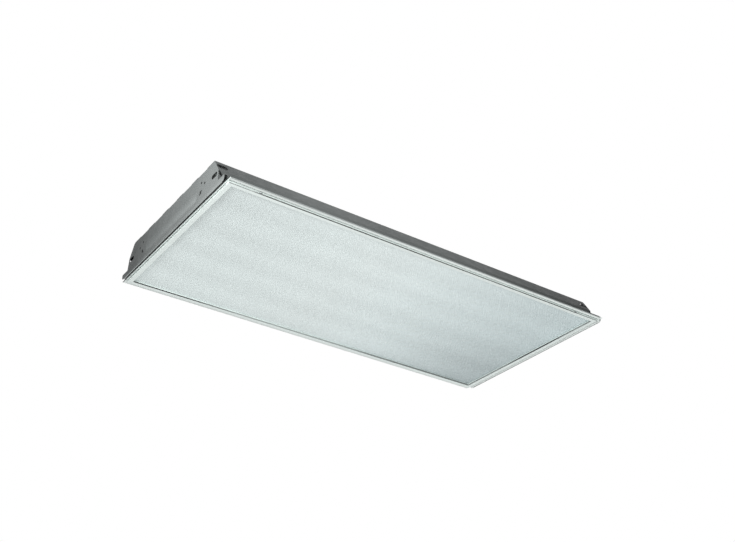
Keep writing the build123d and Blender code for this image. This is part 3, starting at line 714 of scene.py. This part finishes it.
class TROFFER_OT_door(bpy.types.Operator):
    """Paint the door frame, with painted shadow along its near joint and in its reveal, and its mitres"""
    bl_idname = "troffer.door"
    bl_label = "Door frame"

    def execute(self, context):
        settings = context.scene.troffer_enamel
        dress([f"door_rail_{name}" for name in ("near", "far", "left", "right")],
              self.frame_enamel(settings))
        dress([f"end_trim_{name}" for name, _ in ENDS], self.trim_enamel(settings))
        return {"FINISHED"}

    def frame_enamel(self, settings):
        material, tree = start_material("door frame enamel")
        place = place_of(tree)
        x, y, z = axes_of(tree, place)
        from_middle, from_side = size_of(tree, x), size_of(tree, y)
        facing = facing_of(tree)
        joint_shadow = self.joint_shadow_line(tree, x, y, z, facing)
        reveal = self.reveal(tree, x, y, z, facing)
        # mitred corners
        corner = minus(tree, minus(tree, from_middle, from_side), (DOOR_LENGTH - DOOR_WIDTH) / 2)
        mitre = every(tree, short_of(tree, size_of(tree, corner), 0.00022, 0.00008),
                      beyond(tree, from_middle, OPENING_X - 0.0005, 0.0001))
        colour = mottled(tree, noise(tree, place, 9.0, 4.0, 0.6), settings.frame, 0.95)
        # painted shadow along the near joint and in the reveal
        colour = blend_colours(tree, larger(tree, joint_shadow, reveal), colour, settings.recess)
        colour = blend_colours(tree, every(tree, mitre, 0.7), colour, darker(settings.frame, 0.3))
        peel = every(tree, noise(tree, place, 800.0, 2.0), 0.3)
        height = minus(tree, peel, larger(tree, mitre, joint_shadow))
        paint = shade(tree, "BsdfPrincipled", Base_Color=colour, Specular_IOR_Level=0.35,
                      Roughness=varied(tree, noise(tree, place, 60.0), 0.3, 0.42),
                      Normal=bumped(tree, height, 0.3, 0.0003))
        finish_material(tree, paint)
        return material

    def joint_shadow_line(self, tree, x, y, z, facing):
        """Painted shadow along the outer corner of the near rail, fainter beyond the latches, and painted
        shade on its outer face towards the left.
        """
        width = spread(tree, x, -0.1, 0.2, 0.0025, 0.0018)
        from_edge = minus(tree, plus(tree, y, DOOR_WIDTH / 2), width)
        joint_shadow = every(tree, short_of(tree, from_edge, 0.0, 0.0002), short_of(tree, z, 0.0014, 0.0002),
                      spread(tree, size_of(tree, x), 0.49, 0.53, 1.0, 0.65))
        # painted shade on the rail's outer face, fading out towards the middle
        outer_face_shade = every(tree, short_of(tree, y, -DOOR_WIDTH / 2 + 0.001, 0.0003),
                           short_of(tree, facing["Y"], -0.5, 0.1), spread(tree, x, -0.5, 0.0, 0.3, 0.0))
        return larger(tree, joint_shadow, outer_face_shade)

    def reveal(self, tree, x, y, z, facing):
        """Painted shade in the reveal between the frame and the lens, deeper and stronger on some rails."""
        from_middle, from_side = size_of(tree, x), size_of(tree, y)
        inwards = larger(tree, every(tree, away(tree, facing["Y"], y), -1.0),
                         every(tree, away(tree, facing["X"], x), -1.0))
        at_end = beyond(tree, from_middle, OPENING_X - 0.001, 0.0005)
        depth = minus(tree, spread(tree, x, -0.4, 0.4, 0.0026, 0.0045), every(tree, at_end, 0.0014))
        above = minus(tree, z, depth)
        along = plus(tree, spread(tree, x, -0.42, -0.24, 1.0, 0.6), spread(tree, x, 0.1, 0.2, 0.0, 0.15))
        # the painted shade on the end rails is weaker away from a place near their middle
        from_break = size_of(tree, plus(tree, y, 0.04))
        strength = larger(tree, every(tree, along, short_of(tree, x, 0.578, 0.0005)),
                          every(tree, at_end, spread(tree, from_break, 0.06, 0.16, 1.0, 0.7)))
        walls = every(tree, beyond(tree, inwards, 0.4, 0.3), short_of(tree, above, 0.0, 0.0004),
                      short_of(tree, from_middle, OPENING_X + 0.001, 0.0005),
                      short_of(tree, from_side, OPENING_Y + 0.001, 0.0005))
        # the painted shade laps round the inner edge of the far and right rails
        lap_far = every(tree, beyond(tree, y, OPENING_Y - 0.0005, 0.0003),
                        short_of(tree, y, OPENING_Y + 0.0016, 0.0003),
                        short_of(tree, from_middle, OPENING_X, 0.001))
        lap_right = every(tree, at_end, short_of(tree, x, OPENING_X + 0.0024, 0.0003),
                          beyond(tree, x, 0.0, 0.001), short_of(tree, from_side, OPENING_Y, 0.001))
        lap = every(tree, larger(tree, lap_far, lap_right), short_of(tree, z, 0.0008, 0.0002))
        return every(tree, strength, larger(tree, walls, lap))

    def trim_enamel(self, settings):
        """White strip, with painted shade on the upright in the gap beside the left end plate."""
        material, tree = start_material("end trim enamel")
        place = place_of(tree)
        # painted shade on the upright that faces the left end plate across the gap
        gap = every(tree, short_of(tree, parts_of(tree, place)["X"], -TRIM_X + 0.0019, 0.0001),
                    short_of(tree, facing_of(tree)["X"], 0.5, 0.1))
        white = mottled(tree, noise(tree, place, 9.0, 4.0, 0.6), settings.frame, 0.95)
        colour = blend_colours(tree, gap, white, settings.recess)
        paint = shade(tree, "BsdfPrincipled", Base_Color=colour, Roughness=0.4, Specular_IOR_Level=0.35,
                      Normal=bumped(tree, noise(tree, place, 800.0, 2.0), 0.1, 0.0003))
        finish_material(tree, paint)
        return material


class TROFFER_OT_reflector(bpy.types.Operator):
    """Paint the ballast cover and the socket bars with glossy reflector enamel"""
    bl_idname = "troffer.reflector"
    bl_label = "Reflector"

    def execute(self, context):
        settings = context.scene.troffer_enamel
        material, tree = start_material("reflector enamel")
        place = place_of(tree)
        haze = noise(tree, stretched(tree, place, 0.4, 3.0, 3.0), 8.0, 4.0, 0.6)
        roll_marks = noise(tree, stretched(tree, place, 2.0, 90.0, 90.0), 10.0, 2.0)
        peel = plus(tree, noise(tree, place, 700.0, 2.0), every(tree, roll_marks, 0.6))
        paint = shade(tree, "BsdfPrincipled", Base_Color=mottled(tree, haze, settings.inside, 0.93),
                      Roughness=varied(tree, haze, 0.22, 0.34), Normal=bumped(tree, peel, 0.12, 0.0003))
        finish_material(tree, paint)
        dress([f"socket_bar_{name}" for name, _ in ENDS] + ["ballast_cover"], material)
        return {"FINISHED"}


class TROFFER_OT_seal(bpy.types.Operator):
    """Model the vinyl seal that fills the gap between the right end trim and its plate"""
    bl_idname = "troffer.seal"
    bl_label = "End seal"

    def execute(self, context):
        settings = context.scene.troffer_seal
        left, right, foot, top = TRIM_X + 0.00005, 0.6039, 0.0013, 0.0064
        shelf, back_foot = 0.0014, 0.0024
        half = settings.length / 2
        seal = solid_between((left, -half, foot), (right, half, top))
        # the underside rises towards the trim, and the back falls towards the plate
        cut_off(seal, (left, 0, settings.rise), (-(settings.rise - foot), 0, -(right - left) * 0.8))
        cut_off(seal, (left + shelf, 0, top), (top - back_foot, 0, right - left - shelf))
        round_edges(seal, 0.0003)
        close_piece(seal, "end_seal", "housing", self.vinyl(settings))
        return {"FINISHED"}

    def vinyl(self, settings):
        material, tree = start_material("white vinyl")
        place = place_of(tree)
        cloud = noise(tree, place, 30.0, 4.0, 0.6)
        drawn = noise(tree, stretched(tree, place, 40.0, 1.0, 40.0), 60.0, 3.0)
        paint = shade(tree, "BsdfPrincipled", Base_Color=mottled(tree, cloud, settings.colour, 0.94),
                      Roughness=0.5, Normal=bumped(tree, drawn, 0.15, 0.0003))
        finish_material(tree, paint)
        return material


class TROFFER_OT_lens(bpy.types.Operator):
    """Model the prismatic lens: inverted pyramids at 45 degrees below, smooth above"""
    bl_idname = "troffer.lens"
    bl_label = "Lens"

    def execute(self, context):
        settings = context.scene.troffer_lens
        low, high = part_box("lens")
        reach = (high - low).x + (high - low).y
        cells = int(reach / 2 ** 0.5 / settings.pitch) + 4
        deselect()
        bpy.ops.mesh.primitive_grid_add(x_subdivisions=cells, y_subdivisions=cells,
                                        size=cells * settings.pitch, location=(0, 0, low.z))
        lens = bpy.context.object
        bpy.ops.object.mode_set(mode="EDIT")
        bpy.ops.mesh.select_all(action="SELECT")
        bpy.ops.transform.rotate(value=radians(45), orient_axis="Z", center_override=(0, 0, low.z))
        bpy.ops.mesh.poke(offset=settings.depth)
        for place, outward in (((low.x, 0, 0), (-1, 0, 0)), ((high.x, 0, 0), (1, 0, 0)),
                               ((0, low.y, 0), (0, -1, 0)), ((0, high.y, 0), (0, 1, 0))):
            bpy.ops.mesh.select_all(action="SELECT")
            bpy.ops.mesh.bisect(plane_co=place, plane_no=outward, clear_outer=True)
        bpy.ops.mesh.select_all(action="SELECT")
        bpy.ops.mesh.region_to_loop()
        bpy.ops.mesh.extrude_region_move(TRANSFORM_OT_translate={"value": (0, 0, (high - low).z)})
        bpy.ops.transform.resize(value=(1, 1, 0), center_override=(0, 0, high.z))
        bpy.ops.mesh.edge_face_add()
        bpy.ops.mesh.select_all(action="SELECT")
        bpy.ops.mesh.normals_make_consistent(inside=False)
        bpy.ops.object.mode_set(mode="OBJECT")
        close_piece(lens, "prismatic_lens", "door", self.acrylic(settings), ("lens",))
        return {"FINISHED"}

    def acrylic(self, settings):
        """Acrylic with white behind it, and painted light and shade: bands of painted lamp glow, painted
        shade towards both ends and in the far right corner.
        """
        material, tree = start_material("prismatic acrylic")
        place = place_of(tree)
        x, y, _ = axes_of(tree, place)
        # painted shade: the acrylic turns darker and cooler towards the right
        to_right = spread(tree, x, -0.1, 0.55, 0.0, 1.0)
        colour = blend_colours(tree, to_right, settings.colour, settings.shaded_right_colour)
        # painted light: soft bands where the lamps would glow through
        ripple = noise(tree, stretched(tree, place, 1.0, 2.0, 1.0), 3.0, 2.0)
        glow_band = arithmetic(tree, "MULTIPLY_ADD", y, 2 * pi / settings.glow_band, every(tree, ripple, 3.0))
        lamp_glow_bands = arithmetic(tree, "MULTIPLY_ADD", arithmetic(tree, "COSINE", glow_band), 0.028, 1.0)
        # painted shade towards the left end, deeper on the near side and lighter on the far side
        left_corner_shade = every(tree, spread(tree, x, -0.56, -0.25, 1.0, 0.0),
                            spread(tree, y, -0.2, 0.2, -0.06, 0.04))
        left = plus(tree, spread(tree, x, -0.56, -0.25, 0.905, 0.955), left_corner_shade)
        # painted shade towards the right end and in the far right corner
        right = spread(tree, x, 0.05, 0.5, 1.0, 0.81)
        far_corner_shade = every(tree, spread(tree, x, 0.2, 0.55, 0.0, 0.25), spread(tree, y, -0.1, 0.15, 0.0, 1.0))
        far_right_shade = minus(tree, 1.0, far_corner_shade)
        blotch = varied(tree, noise(tree, place, 2.2, 3.0, 0.55), 0.975, 1.025)
        colour = tinted(tree, colour, every(tree, lamp_glow_bands, left, right, far_right_shade, blotch))
        sheet = shade(tree, "BsdfPrincipled", Base_Color=colour, IOR=1.49,
                      Roughness=varied(tree, noise(tree, place, 50.0), 0.24, 0.32))
        finish_material(tree, sheet)
        return material


class TROFFER_OT_lampholders(bpy.types.Operator):
    """Model one lampholder, copy it to the four places and finish rotors and pads"""
    bl_idname = "troffer.lampholders"
    bl_label = "Lampholders"

    def execute(self, context):
        settings = context.scene.troffer_holder
        low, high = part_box("lampholder_left_near")
        centre = Vector((0, (low.y + high.y) / 2, low.z + settings.width / 2))
        plastic = self.moulded("white moulded plastic", settings.colour)
        model = self.model_holder(settings, low, high, centre)
        for end_name, end in ENDS:
            for side_name, side in SIDES:
                node = f"lampholder_{end_name}_{side_name}"
                piece = copied(model)
                piece.rotation_euler.z = 0 if end < 0 else pi
                piece.location.y = side * abs(centre.y) - (centre.y if end < 0 else -centre.y)
                close_piece(piece, f"holder_{end_name}_{side_name}", "housing",
                            plastic, (node,))
        bpy.data.objects.remove(model)
        dress([f"rotor_{end}_{side}" for end, _ in ENDS for side, _ in SIDES],
              self.moulded("rotor plastic", settings.rotor_colour))
        dress([f"holder_pads_{end}" for end, _ in ENDS], self.fibre(settings))
        return {"FINISHED"}

    def model_holder(self, settings, low, high, centre):
        """Left near holder: round foot, neck, bore, flared entry, grips, wire ports and peg."""
        past = 0.001                                  # how far a cutting tool stands out
        mouth_half, mouth_drop = 0.0024, 0.0006
        grip_drop, grip_step, grip_half = 0.003, 0.0022, 0.0005
        panel_half, panel_foot, panel_drop, panel_deep = 0.0075, 0.0132, 0.0022, 0.0004
        port_radius, port_apart, port_drop, port_long = 0.0011, 0.0042, 0.005, 0.006
        peg_half_x, peg_half_y, peg_root = 0.0015, 0.006, 0.0005
        middle_x = (low.x + high.x) / 2
        depth = high.x - low.x
        top = high.z - settings.peg
        piece = rod("X", (middle_x, centre.y, centre.z), settings.width / 2, depth, 64)
        neck = settings.neck / 2
        unite(piece, solid_between((low.x, centre.y - neck, centre.z), (high.x, centre.y + neck, top)))
        cut(piece, rod("X", (middle_x, centre.y, centre.z), settings.bore, 2 * depth, 64))
        slit = settings.entry / 2
        cut(piece, solid_between((low.x - past, centre.y - slit, low.z - past),
                                 (high.x + past, centre.y + slit, centre.z)))
        # the mouth of the entry flares so that the pins find it
        mouth = solid_between((low.x - past, -mouth_half, -mouth_half),
                              (high.x + past, mouth_half, mouth_half))
        mouth.rotation_euler.x = radians(45)
        mouth.location = (0, centre.y, low.z - mouth_drop)
        cut(piece, mouth)
        # finger grips on both sides of the neck
        for side in (-1, 1):
            for step in range(3):
                grip_y, grip_z = centre.y + side * neck, top - grip_drop - step * grip_step
                cut(piece, solid_between((low.x - past, grip_y - grip_half, grip_z - grip_half),
                                         (high.x + past, grip_y + grip_half, grip_z + grip_half)))
        # recessed panel and two wire ports on the front of the neck
        cut(piece, solid_between((high.x - panel_deep, centre.y - panel_half, centre.z + panel_foot),
                                 (high.x + past, centre.y + panel_half, top - panel_drop)))
        for side in (-1, 1):
            port = (high.x, centre.y + side * port_apart, top - port_drop)
            cut(piece, rod("X", port, port_radius, port_long, 20))
        unite(piece, solid_between((middle_x - peg_half_x, centre.y - peg_half_y, top - peg_root),
                                   (middle_x + peg_half_x, centre.y + peg_half_y, high.z)))
        round_edges(piece, 0.0003)
        return piece

    def moulded(self, name, colour):
        material, tree = start_material(name)
        place = place_of(tree)
        cloud = noise(tree, place, 60.0, 4.0, 0.6)
        grain = noise(tree, place, 1500.0, 2.0)
        plastic = shade(tree, "BsdfPrincipled", Base_Color=mottled(tree, cloud, colour, 0.93),
                        Roughness=varied(tree, cloud, 0.3, 0.42), Normal=bumped(tree, grain, 0.1, 0.0002))
        finish_material(tree, plastic)
        return material

    def fibre(self, settings):
        material, tree = start_material("black fibre")
        place = place_of(tree)
        strands = noise(tree, stretched(tree, place, 1.0, 1.0, 6.0), 500.0, 5.0, 0.7)
        tone = blend_colours(tree, spread(tree, strands, 0.35, 0.65, 0.0, 1.0),
                             settings.pad_colour, darker(settings.pad_colour, 1.8))
        board = shade(tree, "BsdfPrincipled", Base_Color=tone, Roughness=0.8, Specular_IOR_Level=0.2,
                      Normal=bumped(tree, strands, 0.4, 0.0002))
        finish_material(tree, board)
        return material


class TROFFER_OT_lamps(bpy.types.Operator):
    """Finish the tubes and model their crimped end caps"""
    bl_idname = "troffer.lamps"
    bl_label = "Lamps"

    def execute(self, context):
        settings = context.scene.troffer_lamp
        dress([f"lamp_tube_{side}" for side, _ in SIDES], self.phosphor_glass(settings))
        brass = metal("brass", settings.brass, 0.22, 0.38, (60.0, 400.0, 400.0))
        dress([f"lamp_pins_{side}" for side, _ in SIDES], brass)
        aluminium = metal("satin aluminium", settings.aluminium, 0.3, 0.45, (900.0, 8.0, 8.0))
        model = self.model_cap()
        for side_name, _ in SIDES:
            low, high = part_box(f"lamp_caps_{side_name}")
            for end_name, end in ENDS:
                cap = copied(model)
                cap.rotation_euler.z = 0 if end < 0 else pi
                cap.location = (end * high.x, (low.y + high.y) / 2, (low.z + high.z) / 2)
                close_piece(cap, f"cap_{end_name}_{side_name}", f"lamp_{side_name}",
                            aluminium, (f"lamp_caps_{side_name}",))
        bpy.data.objects.remove(model)
        return {"FINISHED"}

    def model_cap(self):
        """Cap whose closed face lies at the origin, looking to the left, and whose skirt runs right."""
        length, wall = 0.015, 0.00012
        grooves, groove_depth = ((0.0042, 0.0056), (0.0122, 0.0132)), 0.00022
        low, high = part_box("lamp_caps_near")
        cap = rod("X", (length / 2, 0, 0), (high.z - low.z) / 2, length, 64)
        bpy.ops.object.mode_set(mode="EDIT")
        for groove in grooves:
            for plane in groove:
                bpy.ops.mesh.select_all(action="SELECT")
                bpy.ops.mesh.bisect(plane_co=(plane, 0, 0), plane_no=(1, 0, 0))
        bpy.ops.object.mode_set(mode="OBJECT")
        # closed face: rounded rim, then the insulating disc set into it
        pick_faces(cap, lambda face: face.normal.x < -0.9)
        bpy.ops.object.mode_set(mode="EDIT")
        bpy.ops.mesh.inset(thickness=0.0022)
        bpy.ops.mesh.inset(thickness=0.0003, depth=-0.0004)
        bpy.ops.mesh.inset(thickness=0.0003, depth=0.0003)
        bpy.ops.object.mode_set(mode="OBJECT")
        # two rolled grooves round the skirt
        pick_faces(cap, lambda face: abs(face.normal.x) < 0.5
                   and any(start < face.center.x < end for start, end in grooves))
        bpy.ops.object.mode_set(mode="EDIT")
        bpy.ops.mesh.extrude_region_shrink_fatten(TRANSFORM_OT_shrink_fatten={"value": -groove_depth})
        bpy.ops.object.mode_set(mode="OBJECT")
        # the skirt is open towards the tube
        pick_faces(cap, lambda face: face.normal.x > 0.9 and face.center.x > length - 0.0001)
        bpy.ops.object.mode_set(mode="EDIT")
        bpy.ops.mesh.delete(type="FACE")
        bpy.ops.object.mode_set(mode="OBJECT")
        finish_with(cap, "SOLIDIFY", thickness=wall, offset=-1.0)
        round_edges(cap, wall / 2)
        return cap

    def phosphor_glass(self, settings):
        material, tree = start_material("phosphor-coated glass")
        place = place_of(tree)
        from_middle = size_of(tree, parts_of(tree, place)["X"])
        cloud = noise(tree, stretched(tree, place, 1.0, 6.0, 6.0), 12.0, 3.0)
        powder = mottled(tree, cloud, settings.powder, 0.96)
        # the ends of a used tube are greyed by its cathodes
        greyed = every(tree, spread(tree, from_middle, TUBE_HALF - 0.055, TUBE_HALF - 0.012, 0.0, 0.35),
                       varied(tree, noise(tree, place, 90.0, 4.0), 0.7, 1.0))
        colour = blend_colours(tree, greyed, powder, darker(settings.powder, 0.35))
        glass = shade(tree, "BsdfPrincipled", Base_Color=colour, Roughness=0.5, Coat_Weight=1.0,
                      Coat_Roughness=0.06, Normal=bumped(tree, noise(tree, place, 600.0, 2.0), 0.05, 0.0002))
        finish_material(tree, glass)
        return material


class TROFFER_OT_ballast(bpy.types.Operator):
    """Finish the ballast and the insulation of its leads"""
    bl_idname = "troffer.ballast"
    bl_label = "Ballast and leads"

    def execute(self, context):
        settings = context.scene.troffer_wiring
        dress(("ballast",), metal("ballast case", settings.case, 0.35, 0.5, (4.0, 120.0, 120.0)))
        for name, nodes_with_it, colour in (
                ("lead insulation", [f"ballast_leads_{end}" for end, _ in ENDS], settings.bundle),
                ("holder lead insulation", [f"holder_leads_{end}" for end, _ in ENDS], settings.holder_lead)):
            material, tree = start_material(name)
            place = place_of(tree)
            smear = noise(tree, stretched(tree, place, 1.0, 3.0, 3.0), 50.0, 4.0, 0.6)
            jacket = shade(tree, "BsdfPrincipled", Base_Color=mottled(tree, smear, colour, 0.8),
                           Roughness=varied(tree, smear, 0.38, 0.52),
                           Normal=bumped(tree, noise(tree, place, 900.0, 2.0), 0.12, 0.0002))
            finish_material(tree, jacket)
            dress(nodes_with_it, material)
        return {"FINISHED"}


class TROFFER_OT_fasteners(bpy.types.Operator):
    """Model the screws that show and finish the zinc-plated parts"""
    bl_idname = "troffer.fasteners"
    bl_label = "Fasteners"

    def execute(self, context):
        settings = context.scene.troffer_fastener
        even_grain = (160.0, 160.0, 160.0)
        zinc = metal("zinc plating", settings.zinc, 0.28, 0.45, even_grain)
        hinge_parts = [f"hinge_{part}_{end}" for part in ("bracket", "ears", "pin") for end, _ in ENDS]
        dress(["ballast_bolts", "corner_keys", *hinge_parts], zinc)
        dress(["ground_screw"], metal("green ground screw", settings.ground, 0.35, 0.5, even_grain))
        for end, _ in ENDS:
            rounded_copy(f"latch_{end}", f"cam_latch_{end}", f"latch_{end}", zinc, 0.0003)
        rounded_copy("lens_clips", "spring_clips", "door", zinc, 0.00015)
        self.place_screws("access_screws", self.pan_screw(settings), zinc)
        self.place_screws("cover_screws", self.washer_screw(settings), zinc)
        return {"FINISHED"}

    def place_screws(self, node, model, material):
        """Put a copy of a screw at each corner of the row that the CAD node fills."""
        low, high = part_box(node)
        radius = max(vertex.co.x for vertex in model.data.vertices)
        down = model["head_down"]
        spots = [(x, y) for x in (low.x + radius, high.x - radius) for y in (low.y + radius, high.y - radius)]
        if node == "access_screws":
            spots = [spots[0], spots[3]]
        for number, (x, y) in enumerate(spots):
            screw = copied(model)
            screw.location = (x, y, low.z + model["head"] if down else high.z - model["head"])
            # each screw was driven home at its own angle
            screw.rotation_euler.z = 0.7 + 1.1 * number
            close_piece(screw, f"{node}_{number + 1}", "housing", material, (node,))
        bpy.data.objects.remove(model)

    def pan_screw(self, settings):
        """Pan head above the origin with a cross recess, shank below."""
        head, shank, shank_radius, overlap = 0.0016, 0.0040, 0.0015, 0.0001
        arm, arm_width, recess = 0.0020, 0.00035, 0.0008
        screw = rod("Z", (0, 0, head / 2), settings.pan_radius, head, 32)
        pick_faces(screw, lambda face: face.normal.z > 0.9)
        bpy.ops.object.mode_set(mode="EDIT")
        bpy.ops.mesh.inset(thickness=0.0004)
        bpy.ops.object.mode_set(mode="OBJECT")
        finish_with(screw, "BEVEL", width=0.0007, segments=4, limit_method="ANGLE", angle_limit=radians(60))
        for half_x, half_y in ((arm_width, arm), (arm, arm_width)):
            cut(screw, solid_between((-half_x, -half_y, head - recess), (half_x, half_y, head + 0.001)))
        unite(screw, rod("Z", (0, 0, -shank / 2 + overlap), shank_radius, shank, 20))
        screw["head"], screw["head_down"] = head, 0
        bpy.ops.object.select_all(action="DESELECT")
        return screw

    def washer_screw(self, settings):
        """Hexagon head with a washer flange below the origin, shank above."""
        washer, hexagon, shank, overlap = 0.0008, 0.0022, 0.0030, 0.0001
        hexagon_radius, dimple_radius, shank_radius = 0.0032, 0.0017, 0.0018
        screw = rod("Z", (0, 0, -washer / 2), settings.washer_radius, washer, 40)
        finish_with(screw, "BEVEL", width=0.00025, segments=2, limit_method="ANGLE", angle_limit=radians(60))
        nut = rod("Z", (0, 0, -washer - hexagon / 2 + overlap), hexagon_radius, hexagon, 6)
        finish_with(nut, "BEVEL", width=0.00035, segments=2, limit_method="ANGLE", angle_limit=radians(50))
        unite(screw, nut)
        cut(screw, rod("Z", (0, 0, -washer - hexagon), dimple_radius, 0.0008, 24))
        unite(screw, rod("Z", (0, 0, shank / 2 - overlap), shank_radius, shank, 20))
        screw["head"], screw["head_down"] = washer + hexagon, 1
        return screw


CLASSES = (StudioSettings, EnamelSettings, SealSettings, LensSettings, HolderSettings, LampSettings,
           WiringSettings, FastenerSettings, TROFFER_OT_studio, TROFFER_OT_housing, TROFFER_OT_door,
           TROFFER_OT_reflector, TROFFER_OT_seal, TROFFER_OT_lens, TROFFER_OT_lampholders, TROFFER_OT_lamps,
           TROFFER_OT_ballast, TROFFER_OT_fasteners)

# Where each group of settings is kept on the scene
SETTINGS = (("troffer_studio", StudioSettings), ("troffer_enamel", EnamelSettings),
            ("troffer_seal", SealSettings), ("troffer_lens", LensSettings),
            ("troffer_holder", HolderSettings), ("troffer_lamp", LampSettings),
            ("troffer_wiring", WiringSettings), ("troffer_fastener", FastenerSettings))


class TROFFER_PT_panel(bpy.types.Panel):
    """Sidebar panel with the troffer's pieces"""
    bl_idname = "TROFFER_PT_panel"
    bl_label = "Troffer"
    bl_space_type = "VIEW_3D"
    bl_region_type = "UI"
    bl_category = "Troffer"

    def draw(self, context):
        for operator in CLASSES:
            if issubclass(operator, bpy.types.Operator):
                self.layout.operator(operator.bl_idname)


def register():
    for kind in (*CLASSES, TROFFER_PT_panel):
        bpy.utils.register_class(kind)
    for name, group in SETTINGS:
        setattr(bpy.types.Scene, name, bpy.props.PointerProperty(type=group))


def unregister():
    for name, _ in reversed(SETTINGS):
        delattr(bpy.types.Scene, name)
    for kind in reversed((*CLASSES, TROFFER_PT_panel)):
        bpy.utils.unregister_class(kind)


def main():
    register()
    bpy.ops.troffer.studio()
    bpy.ops.troffer.housing()
    bpy.ops.troffer.door()
    bpy.ops.troffer.reflector()
    bpy.ops.troffer.seal()
    bpy.ops.troffer.lens()
    bpy.ops.troffer.lampholders()
    bpy.ops.troffer.lamps()
    bpy.ops.troffer.ballast()
    bpy.ops.troffer.fasteners()


if __name__ == "__main__":
    main()
